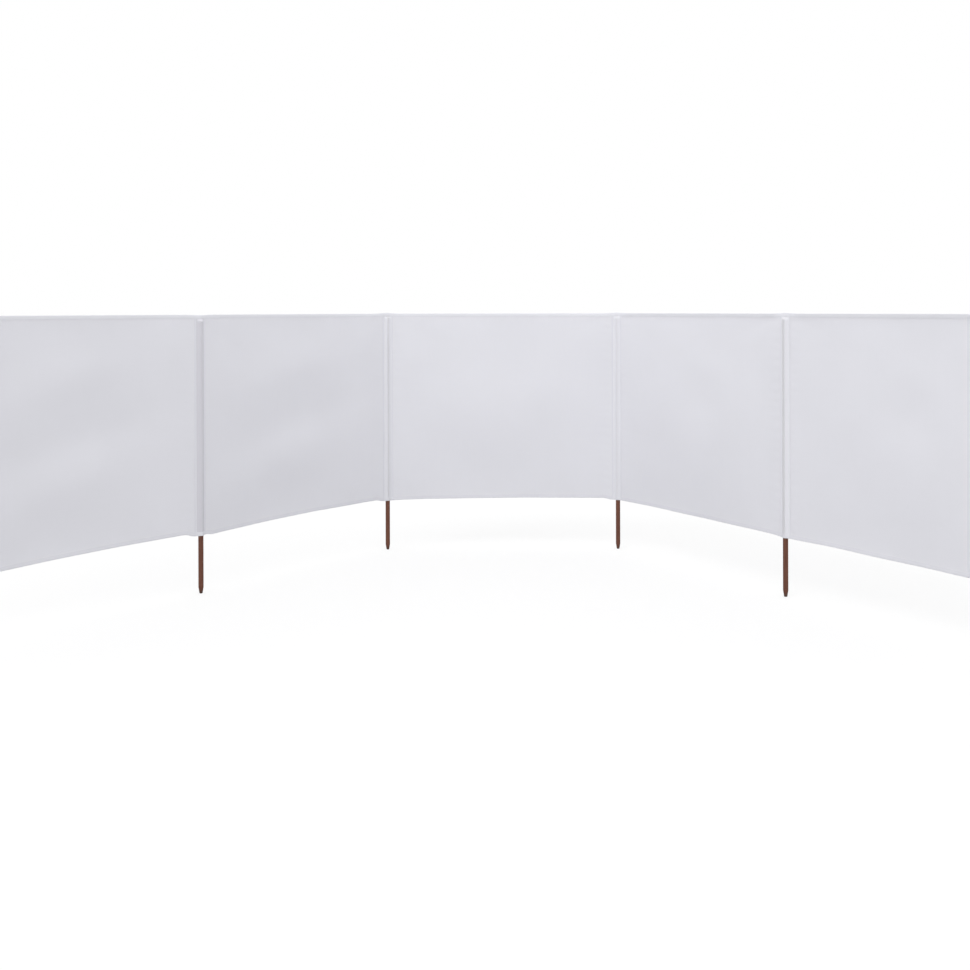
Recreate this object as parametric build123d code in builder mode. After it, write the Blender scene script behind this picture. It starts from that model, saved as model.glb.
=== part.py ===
from build123d import *
from math import asin, atan, cos, degrees, radians, sin
import os

# Beach windbreak: five bays of cloth on six wooden poles, standing as it is set up.
# +X runs along the middle bay, +Y is the outer, windward side and +Z is up.
# The origin is the foot of the pole at the left end of the middle bay.

# Poles
POLE_DIAMETER = 22.0
SPIKE = 250.0  # bare foot of a pole, from its tip to the cloth
POINT_LENGTH = 27.0  # sharpened end of the foot
POINT_FLAT = 13.0  # flat left on the point, across
POINT_ROUND = 2.5
TOP_BEVEL = 2.0

# Cloth
CLOTH_HEIGHT = 950.0
CLOTH = 1.0  # thickness of one layer
HEM = 16.0  # depth of the hems and of the turned mouths of the sleeves
FIT = 0.15  # room left each side of a piece inside the cloth that holds it
POLE_FIT = 0.3  # room between a pole and its sleeve
SEAM_CLEAR = 8.7  # from the side of a pole to the seam beside it
FLANGE = 10.0  # seam allowance that grips the edge of a panel
CROWN = 12.0  # height over which the sleeve is pinched flat above its pole

# Plan
BAY = 1175.0  # from pole to pole
LEFT_WING_ANGLE = 51.5  # of the left wing, towards the sheltered side
RIGHT_WING_ANGLE = 59.5  # of the right wing, towards the sheltered side
LEFT_BELLY = 45.0  # depth to which the wind fills a bay of the left wing
MIDDLE_BELLY = 50.0
RIGHT_BELLY = 15.0

pole_radius = POLE_DIAMETER / 2
top = SPIKE + CLOTH_HEIGHT
crown_foot = top - HEM - CROWN
pole_length = crown_foot - POLE_FIT
seam = pole_radius + SEAM_CLEAR
grip = seam + FLANGE
slot = CLOTH + 2 * FIT
doubled = slot + 2 * CLOTH
tunnel_radius = pole_radius + POLE_FIT
skin_radius = tunnel_radius + CLOTH

headings = (LEFT_WING_ANGLE, LEFT_WING_ANGLE, 0.0, -RIGHT_WING_ANGLE, -RIGHT_WING_ANGLE)
bellies = (LEFT_BELLY, LEFT_BELLY, MIDDLE_BELLY, RIGHT_BELLY, RIGHT_BELLY)
middle = headings.index(0.0)  # place of the middle bay, and of the pole at its left end


def spot(start, angle, along, aside=0.0):
    """The plan point some way along a direction from a point, and to its left."""
    ahead = radians(angle)
    x = start[0] + along * cos(ahead) - aside * sin(ahead)
    y = start[1] + along * sin(ahead) + aside * cos(ahead)
    return (x, y)


def strip(start, angle, near, far, width):
    """The corners of a straight strip of cloth along a direction."""
    half = width / 2
    return (
        spot(start, angle, near, -half),
        spot(start, angle, far, -half),
        spot(start, angle, far, half),
        spot(start, angle, near, half),
    )


def filled(belly):
    """The radius of a bay that the wind fills to a depth, and half the angle it spans."""
    radius = (BAY**2 / 4 + belly**2) / (2 * belly)
    return radius, degrees(asin(BAY / 2 / radius))


def lead(belly):
    """The angle between a bay's heading and the seam allowance at its ends."""
    radius, half_span = filled(belly)
    return half_span - degrees(atan((seam + grip) / 4 / radius))


def ribbon(start, heading, belly, inset, width):
    """The plan of a filled strip of cloth that ends some way short of both poles."""
    radius, half_span = filled(belly)
    end = half_span - degrees(2 * asin(inset / 2 / radius))
    centre = spot(start, heading, BAY / 2, belly - radius)
    first = heading + 90 + end
    with BuildSketch(mode=Mode.PRIVATE) as plan:
        with BuildLine():
            outer = CenterArc(centre, radius + width / 2, first, -2 * end)
            inner = CenterArc(centre, radius - width / 2, first, -2 * end)
            Line(outer @ 0, inner @ 0)
            Line(outer @ 1, inner @ 1)
        make_face()
    return plan.sketch


def tunnel(start, angles, radius, reach, width):
    """The plan of cloth pulled round a pole and pinched together at its seams."""
    with BuildSketch(mode=Mode.PRIVATE) as plan:
        with BuildLine():
            CenterArc(start, radius, 0, 360)
            for angle in angles:
                Line(spot(start, angle, reach, -width / 2), spot(start, angle, reach, width / 2))
        make_hull()
    return plan.sketch


feet = [(0.0, 0.0)]
for heading in headings[middle:]:
    feet.append(spot(feet[-1], heading, BAY))
for heading in reversed(headings[:middle]):
    feet.insert(0, spot(feet[0], heading, -BAY))

os.makedirs("parts", exist_ok=True)

# Poles: turned wood, sharpened below and bevelled above
for place, foot in enumerate(feet):
    with BuildPart() as pole:
        with BuildSketch(Plane((*foot, 0.0), x_dir=(1, 0, 0), z_dir=(0, -1, 0))) as profile:
            with BuildLine():
                Polyline(
                    (0, 0),
                    (POINT_FLAT / 2, 0),
                    (pole_radius, POINT_LENGTH),
                    (pole_radius, pole_length - TOP_BEVEL),
                    (pole_radius - TOP_BEVEL, pole_length),
                    (0, pole_length),
                    close=True,
                )
            make_face()
            fillet(profile.vertices().group_by(Axis.X)[1], POINT_ROUND)
        revolve(axis=Axis((*foot, 0.0), (0, 0, 1)))
    pole.part.label = f"pole_{place + 1}"
    export_step(pole.part, f"parts/pole_{place + 1}.step")

# Sleeves: a tunnel of cloth round each pole, with a turned mouth, a pinched crown
# and seam allowances that take the edges of the panels between them
for place, foot in enumerate(feet):
    angles = []
    if place > 0:
        angles.append(180 + headings[place - 1] - lead(bellies[place - 1]))
    if place < len(headings):
        angles.append(headings[place] + lead(bellies[place]))

    with BuildPart() as pinch:
        for angle in angles:
            along = spot((0, 0), angle, 1)
            across = spot((0, 0), angle, 0, 1)
            with BuildSketch(Plane((*foot, crown_foot), x_dir=(*across, 0), z_dir=(*along, 0))):
                Polygon(
                    (-skin_radius, 0),
                    (skin_radius, 0),
                    (doubled / 2, CROWN),
                    (-doubled / 2, CROWN),
                    align=None,
                )
            extrude(amount=grip)
        with Locations((*foot, crown_foot)):
            Cone(skin_radius, doubled / 2, CROWN, align=(Align.CENTER, Align.CENTER, Align.MIN))

    with BuildPart() as crown:
        with BuildSketch(Plane.XY.offset(crown_foot)):
            add(tunnel(foot, angles, skin_radius, seam, doubled))
            for angle in angles:
                Polygon(*strip(foot, angle, 0, grip, doubled), align=None)
        extrude(amount=CROWN)
        add(pinch.part, mode=Mode.INTERSECT)

    with BuildPart() as sleeve:
        with BuildSketch(Plane.XY.offset(SPIKE)):
            add(tunnel(foot, angles, skin_radius, seam, doubled))
            for angle in angles:
                Polygon(*strip(foot, angle, 0, grip, doubled), align=None)
        extrude(amount=crown_foot - SPIKE)
        with BuildSketch(Plane.XY.offset(SPIKE)):
            add(tunnel(foot, angles, skin_radius + CLOTH, seam, doubled))
        extrude(amount=HEM)
        add(crown.part)
        with BuildSketch(Plane.XY.offset(top - HEM)):
            with Locations(foot):
                Circle(doubled / 2)
            for angle in angles:
                Polygon(*strip(foot, angle, 0, grip, doubled), align=None)
        extrude(amount=HEM)
        with BuildSketch(Plane.XY.offset(SPIKE)):
            add(tunnel(foot, angles, tunnel_radius, seam - CLOTH, slot))
        extrude(amount=crown_foot - SPIKE, mode=Mode.SUBTRACT)
        with BuildSketch(Plane.XY.offset(SPIKE + CLOTH)):
            for angle in angles:
                Polygon(*strip(foot, angle, seam, grip, slot), align=None)
        extrude(amount=CLOTH_HEIGHT - 2 * CLOTH, mode=Mode.SUBTRACT)
    sleeve.part.label = f"sleeve_{place + 1}"
    export_step(sleeve.part, f"parts/sleeve_{place + 1}.step")

# Panels: one width of cloth a bay, with its edges in the seam allowances
for place, (heading, belly) in enumerate(zip(headings, bellies)):
    foot = feet[place]
    with BuildPart() as panel:
        with BuildSketch(Plane.XY.offset(SPIKE + CLOTH + FIT)):
            add(ribbon(foot, heading, belly, seam + FIT, CLOTH))
        extrude(amount=CLOTH_HEIGHT - 2 * (CLOTH + FIT))
    panel.part.label = f"panel_{place + 1}"
    export_step(panel.part, f"parts/panel_{place + 1}.step")

# Hems: each edge of a panel turned over on itself and stitched
for place, (heading, belly) in enumerate(zip(headings, bellies)):
    foot = feet[place]
    with BuildPart() as top_hem:
        with BuildSketch(Plane.XY.offset(top - HEM)):
            add(ribbon(foot, heading, belly, grip + FIT, doubled))
        extrude(amount=HEM)
        with BuildSketch(Plane.XY.offset(top - HEM)):
            add(ribbon(foot, heading, belly, seam, slot))
        extrude(amount=HEM - CLOTH, mode=Mode.SUBTRACT)
    top_hem.part.label = f"top_hem_{place + 1}"
    export_step(top_hem.part, f"parts/top_hem_{place + 1}.step")

    with BuildPart() as bottom_hem:
        with BuildSketch(Plane.XY.offset(SPIKE)):
            add(ribbon(foot, heading, belly, grip + FIT, doubled))
        extrude(amount=HEM)
        with BuildSketch(Plane.XY.offset(SPIKE + CLOTH)):
            add(ribbon(foot, heading, belly, seam, slot))
        extrude(amount=HEM - CLOTH, mode=Mode.SUBTRACT)
    bottom_hem.part.label = f"bottom_hem_{place + 1}"
    export_step(bottom_hem.part, f"parts/bottom_hem_{place + 1}.step")
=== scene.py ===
import math

import bpy
from mathutils import Matrix, Vector, noise


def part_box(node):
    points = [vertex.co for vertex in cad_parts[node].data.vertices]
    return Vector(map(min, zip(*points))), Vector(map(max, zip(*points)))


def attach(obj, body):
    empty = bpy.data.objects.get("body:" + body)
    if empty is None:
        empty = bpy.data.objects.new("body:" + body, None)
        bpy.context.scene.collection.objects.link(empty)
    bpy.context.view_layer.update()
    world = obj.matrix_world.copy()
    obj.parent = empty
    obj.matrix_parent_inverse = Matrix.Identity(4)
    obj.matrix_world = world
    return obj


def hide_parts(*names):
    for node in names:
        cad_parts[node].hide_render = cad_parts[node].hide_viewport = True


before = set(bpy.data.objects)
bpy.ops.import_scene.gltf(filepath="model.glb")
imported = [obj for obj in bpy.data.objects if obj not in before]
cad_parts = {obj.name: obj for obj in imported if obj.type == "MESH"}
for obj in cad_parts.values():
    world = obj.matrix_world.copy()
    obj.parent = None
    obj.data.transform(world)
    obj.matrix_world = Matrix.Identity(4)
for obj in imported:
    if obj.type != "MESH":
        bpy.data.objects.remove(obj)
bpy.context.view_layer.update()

# Beach windbreak: looks of the five bays of cloth and six poles that the frame holds.
# Lengths are in metres. The sheltered side faces -Y, the windward side +Y. Bays and poles
# count from the left, as seen from the sheltered side.

MM = 0.001

BAYS = 5
POLES = 6
POLE_SHADED_SLEEVE = 1  # place of the sleeve whose cloth over its pole is painted darker: painted shade of the pole behind it

# Sewing
CLOTH = 0.5 * MM  # thickness of one layer
CAD_CLOTH = 1.0 * MM  # thickness of one layer in the frame's solids
LAYER = 0.75 * MM  # from the middle of one layer to the middle of the next, as sewn
SEAM_CLEAR = 8.7 * MM  # from the side of a pole to the seam beside it
FLANGE = 10 * MM  # seam allowance of a sleeve on the edge of a panel
CROWN = 12 * MM  # height over which a sleeve is pinched flat above its pole
POLE_FIT = 0.4 * MM  # room between a pole and its sleeve
FOLD = 1.2 * MM  # height over which a hem turns round
FOLD_CORNER = 0.3  # share of that height, and of the layers, at which the turn is rounded
HEM_LAP = 0.4 * MM  # by which a hem runs in under the seam allowance
PANEL_INSET = FOLD  # by which a panel stops short of the fold of its hems
STITCH_PITCH = 4.2 * MM
STITCH_LENGTH = 3.1 * MM
THREAD = 0.7 * MM
EDGE_STITCH = 2.5 * MM  # from a stitch line to the edge of the layer that it holds

# How the wind and the stitching shape the cloth. A grain counts waves or patches to a metre.
SWELL, SWELL_GRAIN = 3.0 * MM, 3.1  # soft unevenness of a whole bay
RIPPLE, RIPPLE_GRAIN = 0.5 * MM, 13  # and finer unevenness on it
FREE_REACH = 160 * MM  # from the seam allowance, which holds the cloth, to where it swells freely
PUCKER = 0.7 * MM  # gathers beside the seams and hems
PUCKER_REACH = 34 * MM
PUCKER_PITCH = 43 * MM
PUCKER_WANDER, WANDER_GRAIN = 2.2, 9  # radians by which they stray from an even pitch
SEAM_FLAT = 14 * MM  # from the seam allowance to the full depth of the gathers of the seam
HEM_FLAT = 30 * MM  # and to the full depth of those of the hems
CORNER_PULL = 1.2 * MM  # folds that run from the corners where the cloth hangs
CORNER_FOLDS = 11  # radians of their wave to a radian round the corner
CORNER_FLAT, CORNER_REACH = 120 * MM, 230 * MM  # from the corner, where they start and fade
SELVEDGE_WAVE, SELVEDGE_GRAIN = 1.3 * MM, 4.5  # unevenness of the lower edge
DRAWN_UP = (  # by how much the lower edge of each bay is drawn up near its left and right pole
    (-8 * MM, 13 * MM),
    (-7 * MM, 9 * MM),
    (2 * MM, 8 * MM),
    (0.0, 3 * MM),
    (0.0, 4 * MM),
)
DRAWN_CURVE = 1.5  # how the drawing up grows towards the pole: 1 is evenly, more is late
TOP_LEFT, TOP_RIGHT = 4.0 * MM, 0.0  # rise of the top edge at the far left and right
PEAKS = (3 * MM, -1.5 * MM, 4 * MM, 3.5 * MM, 3.5 * MM, 3 * MM)  # more rise over each pole
PEAK_REACH = 45 * MM
CURLS = (0.0, 0.0, 0.0, 4 * MM, 4 * MM)  # roll of each top hem to the sheltered side
CURL_REACH = 34 * MM
EDGE_EASE = 50 * MM  # from the seam allowance to the full roll and drawing up
SLEEVE_SLACK = 0.45 * MM  # unevenness of a sleeve round its pole
SLACK_GRAIN, SLACK_ROUND = 26, 0.35  # its patches to a metre up, and to a cell round the pole

# Billows of a bay: place along it from its left pole and up from its foot, and half size
# along and up, all as shares of the bay, then the rise to the right in degrees, and the depth
LEFT_BILLOWS = (
    (0.40, 0.05, 0.36, 0.10, 6, 5 * MM),
    (0.42, 0.29, 0.30, 0.10, 8, -5.5 * MM),
    (0.56, 0.48, 0.36, 0.09, 12, 7.5 * MM),
    (0.46, 0.73, 0.36, 0.11, 12, -9 * MM),
)
MIDDLE_BILLOWS = (
    (0.50, 0.45, 0.42, 0.24, 0, -14 * MM),
    (0.68, 0.56, 0.13, 0.16, 20, -4 * MM),
    (0.88, 0.30, 0.08, 0.24, 0, 4 * MM),
)
RIGHT_BILLOWS = (
    (0.62, 0.42, 0.30, 0.34, 0, -15 * MM),
    (0.60, 0.73, 0.10, 0.07, -20, -3.5 * MM),
    (0.54, 0.56, 0.10, 0.06, -20, 3.5 * MM),
    (0.25, 0.02, 0.30, 0.12, 0, 5 * MM),
)
BILLOWS = (LEFT_BILLOWS, LEFT_BILLOWS, MIDDLE_BILLOWS, RIGHT_BILLOWS, RIGHT_BILLOWS)

# Fineness of the meshes: cells are small at an edge and grow to full size over the margin
COLUMN, COLUMN_MARGIN = 13 * MM, 60 * MM
ROW, ROW_MARGIN = 7 * MM, 40 * MM
EDGE_CELL = 3.5 * MM
SLEEVE_ROW, SLEEVE_MARGIN, SLEEVE_EDGE_CELL = 10 * MM, 50 * MM, 4 * MM
FLANGE_CELLS, PULL_CELLS, ROUND_CELLS = 4, 5, 16  # seam allowance, pull onto the pole, round it
MOUTH_CELLS, CROWN_CELLS = 5, 5  # up the turned mouth of a sleeve, and up its crown
END_CELLS = 6  # along the hem of an end sleeve's crown
CUT_EDGE = 50  # degrees; cloth that turns more sharply than this is a cut edge, not a fold

# Kinds of cloth in a sleeve, as places among its materials
SINGLE, DOUBLED, PAINTED_POLE_SHADE = range(3)

# Photograph, taken level along +Y
LENS, SENSOR = 43.65, 36.0
EYE = Vector((0.4994, -6.0017, 1.2214))
ROLL = 0.178  # degrees, clockwise
SHIFT_DOWN = 0.1808

# Light and floor
SKY = 1.09  # strength of the white light from all round
KEY, KEY_FROM = 0.58, (-0.42, -0.57, 0.71)
FILL, FILL_FROM = 0.16, (0.26, -0.66, 0.71)
LAMP_SPREAD = 25  # degrees
FLOOR_REACH = 60.0
FLOOR_FADE = 0.7  # share of plain white in the floor, so that it fades into the background


def middle(low, high):
    """Halfway between two numbers or points."""
    return (low + high) / 2


pole_boxes = [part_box(f"pole_{i + 1}") for i in range(POLES)]
feet = [middle(*box).xy for box in pole_boxes]
POLE_RADIUS = (pole_boxes[0][1].x - pole_boxes[0][0].x) / 2
CLOTH_FOOT, CLOTH_TOP = (corner.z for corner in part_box("sleeve_1"))
CLOTH_HEIGHT = CLOTH_TOP - CLOTH_FOOT
hem_low, hem_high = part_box("top_hem_1")
HEM = hem_high.z - hem_low.z
SEAM = POLE_RADIUS + SEAM_CLEAR  # from the middle of a pole
GRIP = SEAM + FLANGE  # and to the far edge of the seam allowance


def smooth(value):
    """0 below 0, 1 above 1 and a soft step between."""
    value = min(max(value, 0.0), 1.0)
    return value * value * (3 - 2 * value)


def spread(low, high, usual, fine, margin):
    """Positions from low to high, closer together near both ends."""
    positions, at = [low], low
    while at < high:
        near = min(at - low, high - at) / margin
        at += fine + (usual - fine) * smooth(near)
        positions.append(at)
    scale = (high - low) / (positions[-1] - low)
    return [low + (p - low) * scale for p in positions]


def columns_over(reach):
    """Places along a bay, out from its middle to some way on both sides."""
    return spread(-reach, reach, COLUMN, EDGE_CELL, COLUMN_MARGIN)


def placed(plan, z):
    """A point of the cloth above a plan point, with the cloth drawn up as its top edge is there."""
    share = (plan.x - feet[0].x) / (feet[-1].x - feet[0].x)
    rise = TOP_LEFT + (TOP_RIGHT - TOP_LEFT) * share
    for foot, peak in zip(feet, PEAKS):
        rise += peak * math.exp(-(((plan - foot).length / PEAK_REACH) ** 2))
    return Vector((plan.x, plan.y, z + rise * (z - CLOTH_FOOT) / CLOTH_HEIGHT))


class Bay:
    """The cloth of one bay: an arc in plan from pole to pole, and what the wind adds to it."""

    def __init__(self, place):
        self.place = place
        start = feet[place]
        run = feet[place + 1] - start
        chord = run.length
        self.ahead = run.normalized()
        self.out = Vector((-self.ahead.y, self.ahead.x))
        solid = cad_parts[f"panel_{place + 1}"]
        points = [solid.matrix_world @ v.co for v in solid.data.vertices]
        belly = max((p.xy - start).dot(self.out) for p in points) - CAD_CLOTH / 2
        self.radius = (chord**2 / 4 + belly**2) / (2 * belly)
        self.half_span = math.asin(chord / 2 / self.radius)
        self.centre = start + self.ahead * chord / 2
        self.centre += self.out * (belly - self.radius)
        self.half_width = self.half_arc(SEAM)
        self.grip_width = self.half_arc(GRIP)

    def half_arc(self, inset):
        """Half the length of the arc that ends some way short of both poles."""
        return (self.half_span - 2 * math.asin(inset / 2 / self.radius)) * self.radius

    def lead(self):
        """The angle between the heading and the seam allowances at the bay's ends."""
        return self.half_span - (SEAM + GRIP) / 4 / self.radius

    def slack(self, along):
        """How far a place along the bay is from the nearer seam allowance, which lies flat."""
        return max(self.half_width - FLANGE - abs(along), 0.0)

    def swollen(self, along, up):
        """How far outside the plain arc the cloth stands, at a place along and up from its foot."""
        u = along / self.half_width
        v = up / CLOTH_HEIGHT
        from_seam = self.slack(along)
        from_hem = min(up, CLOTH_HEIGHT - up)
        free = smooth(from_seam / FREE_REACH)
        seed = Vector((11.0 * self.place, 0, 3.0))  # makes each bay uneven in its own way
        spot = Vector((along, up, 0))
        depth = SWELL * free * noise.noise(spot * SWELL_GRAIN + seed)
        depth += RIPPLE * free * noise.noise(spot * RIPPLE_GRAIN + seed)

        for at, above, long, tall, rise, bulge in BILLOWS[self.place]:
            away = Vector(((u + 1 - 2 * at) * self.half_width, (v - above) * CLOTH_HEIGHT))
            away.rotate(Matrix.Rotation(-math.radians(rise), 2))
            fade = (away.x / (2 * long * self.half_width)) ** 2
            fade += (away.y / (tall * CLOTH_HEIGHT)) ** 2
            depth += bulge * free * math.exp(-fade)

        for side in (-1, 1):
            away = Vector((self.half_width - side * along, CLOTH_HEIGHT - up))
            turn = math.atan2(away.y, max(away.x, 1e-6))
            folds = math.sin(turn * CORNER_FOLDS + self.place + side)
            fade = math.exp(-away.length / CORNER_REACH) * smooth(away.length / CORNER_FLAT)
            depth += CORNER_PULL * folds * free * fade

        seam_gather = math.exp(-from_seam / PUCKER_REACH) * smooth(from_seam / SEAM_FLAT)
        hem_gather = math.exp(-from_hem / PUCKER_REACH) * smooth(from_seam / HEM_FLAT)
        wander = noise.noise(spot * WANDER_GRAIN + seed) * PUCKER_WANDER
        depth += PUCKER * seam_gather * math.sin(2 * math.pi * up / PUCKER_PITCH + wander)
        depth += PUCKER * hem_gather * math.sin(2 * math.pi * along / PUCKER_PITCH + wander)

        rolled = max(up - CLOTH_HEIGHT + CURL_REACH, 0.0) / CURL_REACH
        depth -= CURLS[self.place] * rolled ** 2 * smooth(from_seam / EDGE_EASE)
        return depth

    def point(self, along, up, aside=0.0):
        """A point of the cloth: along from its middle, up from its foot, and aside to windward."""
        angle = along / self.radius
        outward = self.out * math.cos(angle) + self.ahead * math.sin(angle)
        share = (along / self.half_width + 1) / 2
        at_left, at_right = DRAWN_UP[self.place]
        lift = at_left * max(1 - share, 0.0) ** DRAWN_CURVE
        lift += at_right * max(share, 0.0) ** DRAWN_CURVE
        spot = Vector((along * SELVEDGE_GRAIN, 7.0 * self.place, 1.0))
        lift += SELVEDGE_WAVE * noise.noise(spot)
        lift *= smooth(self.slack(along) / EDGE_EASE) * (1 - up / CLOTH_HEIGHT)
        reach = self.radius + self.swollen(along, up) + aside
        return placed(self.centre + outward * reach, CLOTH_FOOT + up + lift)


# Materials


def colour(code):
    """A linear colour from an sRGB hex value."""
    shares = [int(code[i:i + 2], 16) / 255 for i in (1, 3, 5)]
    linear = [s / 12.92 if s <= 0.04045 else ((s + 0.055) / 1.055) ** 2.4 for s in shares]
    return (*linear, 1.0)


def add(tree, kind, sockets=(), **settings):
    """Adds a node, with settings for its properties and a value or a link for each socket."""
    made = tree.nodes.new(kind)
    for name, value in settings.items():
        setattr(made, name, value)
    for name, value in dict(sockets).items():
        if isinstance(value, bpy.types.NodeSocket):
            tree.links.new(value, made.inputs[name])
        else:
            made.inputs[name].default_value = value
    return made


def blank(name):
    """An empty material and its node tree."""
    material = bpy.data.materials.new(name)
    material.use_nodes = True
    material.node_tree.nodes.clear()
    return material, material.node_tree


def woven_polyester(name, dark, pale, glow):
    """Plain-woven polyester, off-white: matt, faintly cool, and thin enough to glow in the light.

    glow is the share of the light that goes through it: much in one layer, little in two.
    """
    material, tree = blank(name)
    thread_pitch = 3.0 * MM  # drawn coarse: the real 0.5 mm between threads is too fine to show
    cloud = 0.28  # size of the soft patches of tone
    slub = (0.4, 5 * MM)  # length and breadth of the thicker threads
    slub_share = 0.22

    cut = add(tree, "ShaderNodeUVMap", uv_map="cloth").outputs["UV"]
    tones = add(tree, "ShaderNodeTexNoise",
                {"Vector": cut, "Scale": 1 / cloud, "Detail": 2.0}).outputs["Fac"]
    for wide, tall in (slub, reversed(slub)):
        drawn = add(tree, "ShaderNodeMapping",
                    {"Vector": cut, "Scale": (1 / wide, 1 / tall, 1.0)})
        thread = add(tree, "ShaderNodeTexNoise",
                     {"Vector": drawn.outputs["Vector"], "Scale": 1.0, "Detail": 3.0})
        tones = add(tree, "ShaderNodeMix", {
            "Factor": slub_share,
            "A": tones,
            "B": thread.outputs["Fac"],
        }).outputs["Result"]
    tint = add(tree, "ShaderNodeValToRGB", {"Fac": tones})
    for end, position, code in zip(tint.color_ramp.elements, (0.3, 0.7), (dark, pale)):
        end.position, end.color = position, colour(code)

    sides = add(tree, "ShaderNodeSeparateXYZ", {"Vector": cut})
    swings = []
    for axis in ("X", "Y"):
        turn = add(tree, "ShaderNodeMath",
                   {0: sides.outputs[axis], 1: math.pi / thread_pitch}, operation="MULTIPLY")
        swing = add(tree, "ShaderNodeMath", {0: turn.outputs[0]}, operation="SINE")
        swings.append(swing.outputs[0])
    over = add(tree, "ShaderNodeMath", {0: swings[0], 1: swings[1]}, operation="MULTIPLY")
    on_top = add(tree, "ShaderNodeMath", {0: over.outputs[0], 1: 0.0}, operation="GREATER_THAN")
    warp, weft = (add(tree, "ShaderNodeMath", {0: swing}, operation="ABSOLUTE").outputs[0]
                  for swing in swings)
    weave = add(tree, "ShaderNodeMix", {"Factor": on_top.outputs[0], "A": warp, "B": weft})
    raised = add(tree, "ShaderNodeBump",
                 {"Height": weave.outputs["Result"], "Strength": 0.3, "Distance": 0.15 * MM})

    front = add(tree, "ShaderNodeBsdfPrincipled", {
        "Base Color": tint.outputs["Color"],
        "Roughness": 0.88,
        "Specular IOR Level": 0.3,
        "Sheen Weight": 0.06,
        "Sheen Roughness": 0.5,
        "Normal": raised.outputs["Normal"],
    })
    through = add(tree, "ShaderNodeBsdfTranslucent",
                  {"Color": tint.outputs["Color"], "Normal": raised.outputs["Normal"]})
    both = add(tree, "ShaderNodeMixShader",
               {"Fac": glow, 1: front.outputs["BSDF"], 2: through.outputs["BSDF"]})
    add(tree, "ShaderNodeOutputMaterial", {"Surface": both.outputs["Shader"]})
    return material


def sewing_thread():
    """Twisted polyester sewing thread, white: a little brighter and glossier than the cloth."""
    material, tree = blank("sewing_thread_white")
    twist = 0.6 * MM  # one turn of the strands
    place = add(tree, "ShaderNodeTexCoord").outputs["Object"]
    strands = add(tree, "ShaderNodeTexNoise",
                  {"Vector": place, "Scale": 1 / twist, "Detail": 1.0}).outputs["Fac"]
    tint = add(tree, "ShaderNodeMix",
               {"Factor": strands, "A": colour("#E4E4E7"), "B": colour("#EFEFF0")},
               data_type="RGBA")
    raised = add(tree, "ShaderNodeBump",
                 {"Height": strands, "Strength": 0.4, "Distance": 0.1 * MM})
    thread = add(tree, "ShaderNodeBsdfPrincipled", {
        "Base Color": tint.outputs["Result"],
        "Roughness": 0.6,
        "Sheen Weight": 0.1,
        "Normal": raised.outputs["Normal"],
    })
    add(tree, "ShaderNodeOutputMaterial", {"Surface": thread.outputs["BSDF"]})
    return material


def stained_softwood():
    """Turned softwood, stained red-brown: straight grain, half dull, and grey at the worn point."""
    material, tree = blank("stained_softwood")
    grain = (1.6 * MM, 90 * MM)  # breadth and length of the grain lines
    figure = (9 * MM, 220 * MM)  # breadth and length of the broader figure
    point = 27 * MM  # length of the sharpened end

    place = add(tree, "ShaderNodeTexCoord").outputs["Object"]
    lines = []
    for across, along in (grain, figure):
        drawn = add(tree, "ShaderNodeMapping",
                    {"Vector": place, "Scale": (1 / across, 1 / across, 1 / along)})
        lines.append(add(tree, "ShaderNodeTexNoise", {
            "Vector": drawn.outputs["Vector"],
            "Scale": 1.0,
            "Detail": 4.0,
            "Distortion": 0.4,
        }).outputs["Fac"])
    mixed = add(tree, "ShaderNodeMix", {"Factor": 0.45, "A": lines[0], "B": lines[1]})
    stain = add(tree, "ShaderNodeValToRGB", {"Fac": mixed.outputs["Result"]})
    for end, position, code in zip(stain.color_ramp.elements, (0.36, 0.64), ("#552C20", "#7E4E39")):
        end.position, end.color = position, colour(code)

    above_ground = add(tree, "ShaderNodeSeparateXYZ", {"Vector": place}).outputs["Z"]
    worn = add(tree, "ShaderNodeMapRange", {
        "Value": above_ground,
        "From Min": 0.0,
        "From Max": point,
        "To Min": 0.75,
        "To Max": 0.0,
    }, interpolation_type="SMOOTHSTEP")
    tone = add(tree, "ShaderNodeMix", {
        "Factor": worn.outputs["Result"],
        "A": stain.outputs["Color"],
        "B": colour("#4A3933"),
    }, data_type="RGBA")
    dull = add(tree, "ShaderNodeMapRange", {
        "Value": lines[0],
        "From Min": 0.3,
        "From Max": 0.7,
        "To Min": 0.48,
        "To Max": 0.68,
    })
    raised = add(tree, "ShaderNodeBump",
                 {"Height": lines[0], "Strength": 0.35, "Distance": 0.3 * MM})
    wood = add(tree, "ShaderNodeBsdfPrincipled", {
        "Base Color": tone.outputs["Result"],
        "Roughness": dull.outputs["Result"],
        "Normal": raised.outputs["Normal"],
    })
    add(tree, "ShaderNodeOutputMaterial", {"Surface": wood.outputs["BSDF"]})
    return material


# One layer glows and two hardly do. The cloth over one sleeve's pole is painted grey, as painted
# shade of the stained pole behind it
single_cloth = woven_polyester("woven_polyester_single", "#F6F6FA", "#F9F9FD", 0.35)
doubled_cloth = woven_polyester("woven_polyester_doubled", "#F1F1F7", "#F4F4FA", 0.08)
# painted shade: darker, duller cloth standing in for the pole's shade seen through one sleeve
painted_pole_shade_cloth = woven_polyester("woven_polyester_painted_pole_shade", "#DFDEE5", "#E2E1E8", 0.08)
white_thread = sewing_thread()
pole_wood = stained_softwood()

# Making a piece


def put(name, data):
    """A new object in the scene, at the origin."""
    made = bpy.data.objects.new(name, data)
    bpy.context.scene.collection.objects.link(made)
    return made


def bake(piece):
    """Turns a piece and its modifiers into a plain mesh."""
    graph = bpy.context.evaluated_depsgraph_get()
    mesh = bpy.data.meshes.new_from_object(piece.evaluated_get(graph))
    piece.modifiers.clear()
    piece.data = mesh


def one_kind(grid, row, column):
    """The kind of cloth of a cell in a piece that has only one."""
    return 0


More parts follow.
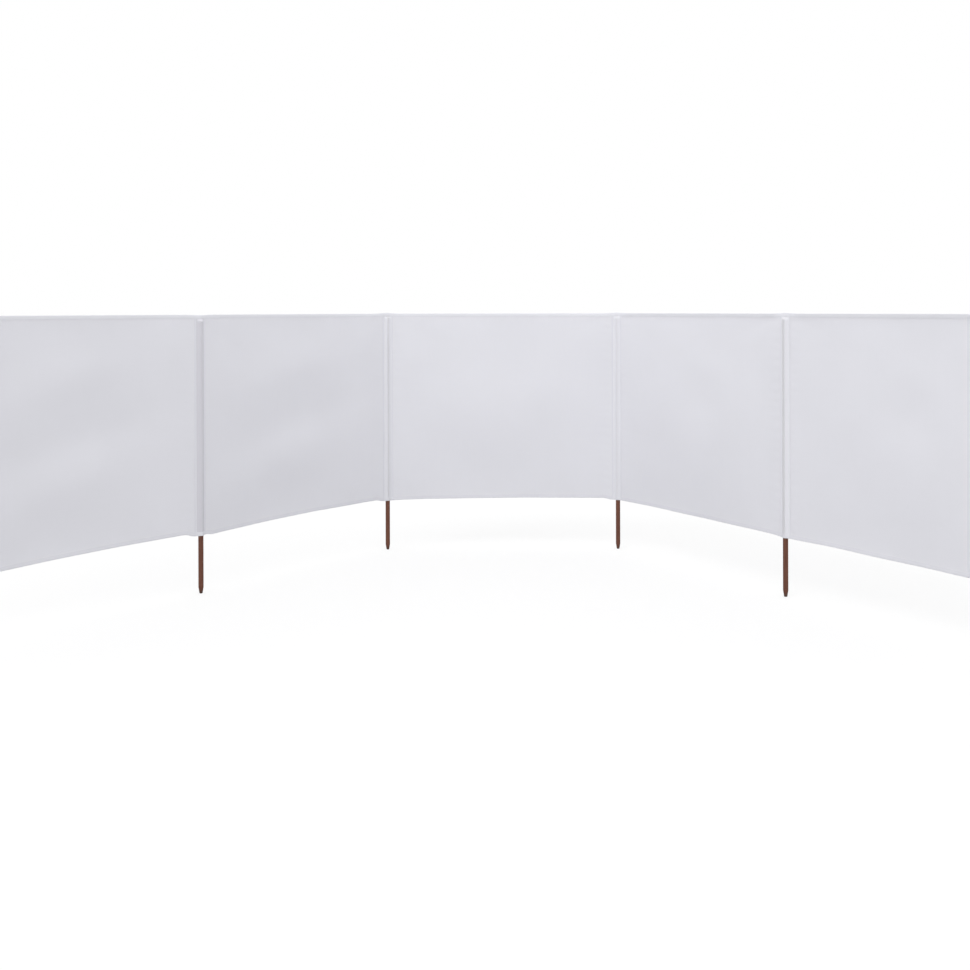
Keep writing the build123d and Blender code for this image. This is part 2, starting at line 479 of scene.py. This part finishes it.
def sheet_mesh(name, strips, materials, kind_of):
    """A mesh of strips of cloth, each a grid of points, with a UV map in metres of cloth.

    kind_of gives the place of a cell's material among the materials of the piece.
    """
    points, faces, flat, chosen = [], [], [], []
    for grid in strips:
        first, wide = len(points), len(grid[0])
        gone_up = 0.0
        for r, row in enumerate(grid):
            points += row
            if r:
                half = wide // 2
                gone_up += (row[half] - grid[r - 1][half]).length
            gone_along = 0.0
            for c, point in enumerate(row):
                if c:
                    gone_along += (point - row[c - 1]).length
                flat.append((gone_along, gone_up))
        for r in range(len(grid) - 1):
            for c in range(wide - 1):
                corner = first + r * wide + c
                faces.append((corner, corner + 1, corner + wide + 1, corner + wide))
                chosen.append(kind_of(grid, r, c))
    mesh = bpy.data.meshes.new(name)
    mesh.from_pydata(points, [], faces)
    for material in materials:
        mesh.materials.append(material)
    mesh.polygons.foreach_set("material_index", chosen)
    layer = mesh.uv_layers.new(name="cloth")
    for loop in mesh.loops:
        layer.data[loop.index].uv = flat[loop.vertex_index]
    mesh.shade_smooth()
    return mesh


def sewn_piece(name, node, strips, materials, kind_of=one_kind):
    """A finished piece of cloth that stands for a node: its thickness lies half to each side."""
    piece = put(name, sheet_mesh(name, strips, materials, kind_of))
    wall = piece.modifiers.new("thickness", "SOLIDIFY")
    wall.thickness = CLOTH
    wall.offset = 0.0
    wall.use_even_offset = True
    bake(piece)
    piece.data.set_sharp_from_angle(angle=math.radians(CUT_EDGE))
    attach(piece, "root")
    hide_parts(node)
    return piece


# Panels and hems


def hem_fold(edge, inward):
    """The turns of a hem over an edge, from one lip to the other.

    Each is a distance aside and a height. inward is 1 for an edge below its panel, -1 above.
    """
    lip, turn = edge + inward * HEM, edge + inward * FOLD
    corner = (-LAYER * (1 - FOLD_CORNER), edge + inward * FOLD * FOLD_CORNER)
    rows = [(-LAYER, lip), (-LAYER, middle(lip, turn)), (-LAYER, turn), corner, (0.0, edge)]
    return rows + [(-aside, up) for aside, up in reversed(rows[:-1])]


bays = [Bay(place) for place in range(BAYS)]
cloths, top_hems, bottom_hems = [], [], []
for bay in bays:
    number = bay.place + 1
    columns = columns_over(bay.half_width)
    rows = spread(PANEL_INSET, CLOTH_HEIGHT - PANEL_INSET, ROW, EDGE_CELL, ROW_MARGIN)
    grid = [[bay.point(along, up) for along in columns] for up in rows]
    cloths.append(sewn_piece(f"bay_{number}_cloth", f"panel_{number}", [grid], [single_cloth]))

    columns = columns_over(bay.grip_width + HEM_LAP)
    for hems, label, edge, inward in (
        (top_hems, "top_hem", CLOTH_HEIGHT, -1),
        (bottom_hems, "bottom_hem", 0.0, 1),
    ):
        turns = hem_fold(edge, inward)
        grid = [[bay.point(along, up, aside) for along in columns] for aside, up in turns]
        hems.append(
            sewn_piece(f"bay_{number}_{label}", f"{label}_{number}", [grid], [doubled_cloth]))

# Sleeves: two strips of cloth round a pole, sewn together on both sides of it, or one strip
# round an end pole


def polar(angle, reach, aside=0.0):
    """A plan vector some way along a direction, and to its left."""
    along = Vector((math.cos(angle), math.sin(angle)))
    return along * reach + Vector((-along.y, along.x)) * aside


def round_pole(first, last, side, offset):
    """The path of a strip round the pole, from one seam allowance to the other.

    first and last are the directions of the allowances, side is 1 where the strip runs
    clockwise, and offset is from the inside of the tunnel to the middle of the layer.
    """
    radius = POLE_RADIUS + POLE_FIT + offset
    aside = LAYER + max(offset - CLOTH / 2, 0.0)
    lean = math.atan2(aside, SEAM) + math.acos(radius / math.hypot(SEAM, aside))
    turn = side * (first - last) % (2 * math.pi) or 2 * math.pi
    touch = first - side * lean
    sweep = turn - 2 * lean

    path = [polar(first, GRIP - FLANGE * i / FLANGE_CELLS, -side * aside)
            for i in range(FLANGE_CELLS)]
    leave, arrive = polar(first, SEAM, -side * aside), polar(touch, radius)
    path += [leave.lerp(arrive, i / PULL_CELLS) for i in range(PULL_CELLS)]
    path += [polar(touch - side * sweep * i / ROUND_CELLS, radius) for i in range(ROUND_CELLS)]
    leave, arrive = polar(touch - side * sweep, radius), polar(last, SEAM, side * aside)
    path += [leave.lerp(arrive, i / PULL_CELLS) for i in range(PULL_CELLS)]
    path += [polar(last, SEAM + FLANGE * i / FLANGE_CELLS, side * aside)
             for i in range(FLANGE_CELLS + 1)]
    return path


def pinched(first, last, side, offset):
    """The path of the same strip where it is pinched flat, offset from the plane between two."""
    centre = [polar(first, GRIP - FLANGE * i / FLANGE_CELLS) for i in range(FLANGE_CELLS)]
    start, end = polar(first, SEAM), polar(last, SEAM)
    count = 2 * PULL_CELLS + ROUND_CELLS
    for i in range(count):
        t = i / count
        centre.append(start * (1 - t) ** 2 + end * t * t)
    centre += [polar(last, SEAM + FLANGE * i / FLANGE_CELLS) for i in range(FLANGE_CELLS + 1)]

    path = []
    for i, point in enumerate(centre):
        run = centre[min(i + 1, len(centre) - 1)] - centre[max(i - 1, 0)]
        run.normalize()
        path.append(point + Vector((-run.y, run.x)) * side * offset)
    return path


def sleeve_rows():
    """The rows of a strip of sleeve: height, extra layers outside, and how far it is pinched."""
    lip, turn = CLOTH_FOOT + HEM, CLOTH_FOOT + FOLD
    corner = CLOTH_FOOT + FOLD * FOLD_CORNER
    crown_foot = CLOTH_TOP - HEM - CROWN
    rows = [(lip, 1.0, 0.0), (CLOTH_FOOT + HEM / 2, 1.0, 0.0), (turn, 1.0, 0.0)]
    rows += [(corner, 1 - FOLD_CORNER, 0.0), (CLOTH_FOOT, 0.5, 0.0), (corner, FOLD_CORNER, 0.0)]
    plain = spread(turn, crown_foot, SLEEVE_ROW, SLEEVE_EDGE_CELL, SLEEVE_MARGIN)
    rows += [(z, 0.0, 0.0) for z in plain]
    for i in range(1, CROWN_CELLS + 1):
        rows.append((crown_foot + CROWN * i / CROWN_CELLS, 0.0, smooth(i / CROWN_CELLS)))
    return rows + [(z, 0.0, 1.0) for z in (CLOTH_TOP - HEM / 2, CLOTH_TOP - FOLD)]


def strip_of_sleeve(foot, first, last, side, seed):
    """The grid of one strip of a sleeve, from its turned mouth to the hem at its top."""
    flat = pinched(first, last, side, LAYER)
    grid = []
    for z, layers, pinch in sleeve_rows():
        wide = round_pole(first, last, side, CLOTH / 2 + layers * LAYER)
        row = []
        for i, (a, b) in enumerate(zip(wide, flat)):
            plan = foot + a.lerp(b, pinch)
            slack = noise.noise(Vector((z * SLACK_GRAIN, i * SLACK_ROUND, seed))) * SLEEVE_SLACK
            from_edge = min(i, len(wide) - 1 - i)
            free = smooth(from_edge / (FLANGE_CELLS + PULL_CELLS)) * (1 - pinch)
            row.append(placed(plan + a.normalized() * max(slack, -POLE_FIT / 2) * free, z))
        grid.append(row)
    return grid


def crown_band(foot, first, last):
    """The grid of the hem that closes a sleeve above its pole.

    It lies outside the strips, so twice as far aside as the hem of a panel.
    """
    grid = []
    for aside, up in hem_fold(CLOTH_TOP, -1):
        if first == last:
            inner = SEAM / 2
            path = [polar(first, inner + (GRIP - inner) * i / END_CELLS, 2 * aside)
                    for i in range(END_CELLS + 1)]
        else:
            path = pinched(first, last, 1, 2 * aside)
        grid.append([placed(foot + p, up) for p in path])
    return grid


def over_pole(grid, row, column, edge_cells):
    """Whether a cell lies over the pole: in a strip, above its mouth and clear of its edges."""
    in_strip = len(grid) > 2 * MOUTH_CELLS  # the grid of a crown's hem has fewer rows
    from_edge = min(column, len(grid[0]) - 2 - column)
    return in_strip and row >= MOUTH_CELLS and from_edge >= edge_cells


def plain_sleeve(grid, row, column):
    """The kind of cloth of a cell: one layer over the pole, doubled where cloth lies on cloth."""
    return SINGLE if over_pole(grid, row, column, FLANGE_CELLS + PULL_CELLS) else DOUBLED


def pole_shaded_sleeve(grid, row, column):
    """The same for the sleeve whose cloth over its pole, from seam to seam, is painted darker as
    painted shade of the pole.
    """
    return PAINTED_POLE_SHADE if over_pole(grid, row, column, FLANGE_CELLS) else DOUBLED


def sewn_directions(place):
    """The directions in which the seam allowances of a sleeve leave its pole."""
    directions = []
    if place > 0:
        before = bays[place - 1]
        directions.append(math.atan2(-before.ahead.y, -before.ahead.x) - before.lead())
    if place < BAYS:
        after = bays[place]
        directions.append(math.atan2(after.ahead.y, after.ahead.x) + after.lead())
    return directions


sleeves, girths = [], []
for place, foot in enumerate(feet):
    directions = sewn_directions(place)
    first, last = directions[0], directions[-1]
    sides = (1, -1) if len(directions) == 2 else (1,)
    strips = [strip_of_sleeve(foot, first, last, side, 5.0 * place + side) for side in sides]
    halfway = [strip[len(strip) // 2] for strip in strips]
    girths.append(sum((b - a).length for row in halfway for a, b in zip(row, row[1:])))
    strips.append(crown_band(foot, first, last))
    name = f"sleeve_{place + 1}"
    kinds = [single_cloth, doubled_cloth, painted_pole_shade_cloth]  # in the order of SINGLE, DOUBLED, PAINTED_POLE_SHADE
    # one sleeve gets painted shade of its pole over it; its shape is the same as the others'
    kind_of = pole_shaded_sleeve if place == POLE_SHADED_SLEEVE else plain_sleeve
    sleeves.append(sewn_piece(f"{name}_cloth", name, strips, kinds, kind_of))

# Stitching


def stitch_tree():
    """Geometry Nodes that lay stitches along the lines of a mesh."""
    tree = bpy.data.node_groups.new("stitches_along_lines", "GeometryNodeTree")
    face = tree.interface
    face.new_socket("Lines", in_out="INPUT", socket_type="NodeSocketGeometry")
    for label in ("Pitch", "Stitch length", "Thread width"):
        face.new_socket(label, in_out="INPUT", socket_type="NodeSocketFloat")
    face.new_socket("Thread", in_out="INPUT", socket_type="NodeSocketMaterial")
    face.new_socket("Stitches", in_out="OUTPUT", socket_type="NodeSocketGeometry")
    given = tree.nodes.new("NodeGroupInput").outputs
    curves = add(tree, "GeometryNodeMeshToCurve", {"Mesh": given["Lines"]})
    spaced = add(tree, "GeometryNodeResampleCurve",
                 {"Curve": curves.outputs["Curve"], "Length": given["Pitch"]}, mode="LENGTH")
    run = add(tree, "GeometryNodeInputTangent")
    turned = add(tree, "FunctionNodeAlignRotationToVector",
                 {"Vector": run.outputs["Tangent"]}, axis="X")
    size = add(tree, "ShaderNodeCombineXYZ", {
        "X": given["Stitch length"],
        "Y": given["Thread width"],
        "Z": given["Thread width"],
    })
    grain = add(tree, "GeometryNodeMeshIcoSphere", {"Radius": 0.5, "Subdivisions": 1})
    laid = add(tree, "GeometryNodeInstanceOnPoints", {
        "Points": spaced.outputs["Curve"],
        "Instance": grain.outputs["Mesh"],
        "Rotation": turned.outputs["Rotation"],
        "Scale": size.outputs["Vector"],
    })
    real = add(tree, "GeometryNodeRealizeInstances", {"Geometry": laid.outputs["Instances"]})
    dyed = add(tree, "GeometryNodeSetMaterial",
               {"Geometry": real.outputs["Geometry"], "Material": given["Thread"]})
    add(tree, "NodeGroupOutput", {"Stitches": dyed.outputs["Geometry"]})
    return tree


stitches_along_lines = stitch_tree()


def stitch(name, lines):
    """A piece of stitching along lines of points."""
    points, edges = [], []
    for line in lines:
        first = len(points)
        points += line
        edges += [(first + i, first + i + 1) for i in range(len(line) - 1)]
    mesh = bpy.data.meshes.new(name)
    mesh.from_pydata(points, edges, [])
    piece = put(name, mesh)
    sewing = piece.modifiers.new("stitches", "NODES")
    sewing.node_group = stitches_along_lines
    given = {
        "Pitch": STITCH_PITCH,
        "Stitch length": STITCH_LENGTH,
        "Thread width": THREAD,
        "Thread": white_thread,
    }
    for socket in stitches_along_lines.interface.items_tree:
        if socket.name in given:
            sewing[socket.identifier] = given[socket.name]
    bake(piece)
    piece.data.shade_smooth()
    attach(piece, "root")
    return piece


# Each bay has a line beside the lip of both hems and one on both seam allowances, on both sides
proud = LAYER + CLOTH / 2
for bay in bays:
    lines = []
    columns = columns_over(bay.grip_width)
    for up in (HEM - EDGE_STITCH, CLOTH_HEIGHT - HEM + EDGE_STITCH):
        for side in (-1, 1):
            lines.append([bay.point(along, up, side * proud) for along in columns])
    heights = spread(2 * FOLD, CLOTH_HEIGHT - HEM, COLUMN, EDGE_CELL, COLUMN_MARGIN)
    seam_line = bay.grip_width + EDGE_STITCH
    for end in (-1, 1):
        for side in (-1, 1):
            lines.append([bay.point(end * seam_line, up, side * proud) for up in heights])
    stitch(f"bay_{bay.place + 1}_stitching", lines)

# Poles keep the shape of the frame and get the wood
for place in range(POLES):
    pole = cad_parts[f"pole_{place + 1}"]
    pole.data.materials.clear()
    pole.data.materials.append(pole_wood)

# Floor, light and camera


def floor_material():
    """White floor that fades into the white background and keeps the soft shadows."""
    material, tree = blank("floor_white")
    seen, unseen = colour("#EFEFEF"), colour("#A0A0A0")  # unseen lights the cloth from below
    by_camera = add(tree, "ShaderNodeLightPath").outputs["Is Camera Ray"]
    tone = add(tree, "ShaderNodeMix", {"Factor": by_camera, "A": unseen, "B": seen},
               data_type="RGBA")
    lit = add(tree, "ShaderNodeBsdfDiffuse", {"Color": tone.outputs["Result"]})
    plain = add(tree, "ShaderNodeEmission", {"Color": colour("#FFFFFF"), "Strength": 1.0})
    share = add(tree, "ShaderNodeMath", {0: by_camera, 1: FLOOR_FADE}, operation="MULTIPLY")
    both = add(tree, "ShaderNodeMixShader",
               {"Fac": share.outputs[0], 1: lit.outputs["BSDF"], 2: plain.outputs["Emission"]})
    add(tree, "ShaderNodeOutputMaterial", {"Surface": both.outputs["Shader"]})
    return material


floor_mesh = bpy.data.meshes.new("floor")
corners = [(x * FLOOR_REACH, y * FLOOR_REACH, 0) for x, y in ((-1, -1), (1, -1), (1, 1), (-1, 1))]
floor_mesh.from_pydata(corners, [], [(0, 1, 2, 3)])
floor_mesh.materials.append(floor_material())
floor = put("floor", floor_mesh)

# A white background for what looks straight at it, and a slightly stronger sky for the rest
world = bpy.data.worlds.new("studio")
world.use_nodes = True
tree = world.node_tree
tree.nodes.clear()
sky = add(tree, "ShaderNodeBackground", {"Color": colour("#FFFFFF"), "Strength": SKY})
white = add(tree, "ShaderNodeBackground", {"Color": colour("#FFFFFF"), "Strength": 1.0})
rays = add(tree, "ShaderNodeLightPath")
shown = rays.outputs["Is Camera Ray"]
for kind in ("Is Glossy Ray", "Is Transmission Ray"):
    shown = add(tree, "ShaderNodeMath", {0: shown, 1: rays.outputs[kind]},
                operation="MAXIMUM").outputs[0]
studio = add(tree, "ShaderNodeMixShader",
             {"Fac": shown, 1: sky.outputs["Background"], 2: white.outputs["Background"]})
add(tree, "ShaderNodeOutputWorld", {"Surface": studio.outputs["Shader"]})
bpy.context.scene.world = world


def lamp(name, strength, direction):
    """A broad, soft light from one direction, as even over the wings as a studio's big panels."""
    data = bpy.data.lights.new(name, "SUN")
    data.angle = math.radians(LAMP_SPREAD)
    data.energy = strength
    made = put(name, data)
    made.rotation_euler = (-Vector(direction)).to_track_quat("-Z", "Y").to_euler()


lamp("key", KEY, KEY_FROM)
lamp("fill", FILL, FILL_FROM)

camera_data = bpy.data.cameras.new("photo_view")
camera_data.lens = LENS
camera_data.sensor_width = SENSOR
camera_data.shift_y = -SHIFT_DOWN
camera = put("photo_view", camera_data)
level = Matrix.Rotation(math.radians(90), 4, "X") @ Matrix.Rotation(-math.radians(ROLL), 4, "Z")
camera.matrix_world = Matrix.Translation(EYE) @ level
bpy.context.scene.camera = camera
bpy.context.scene.view_settings.view_transform = "Standard"
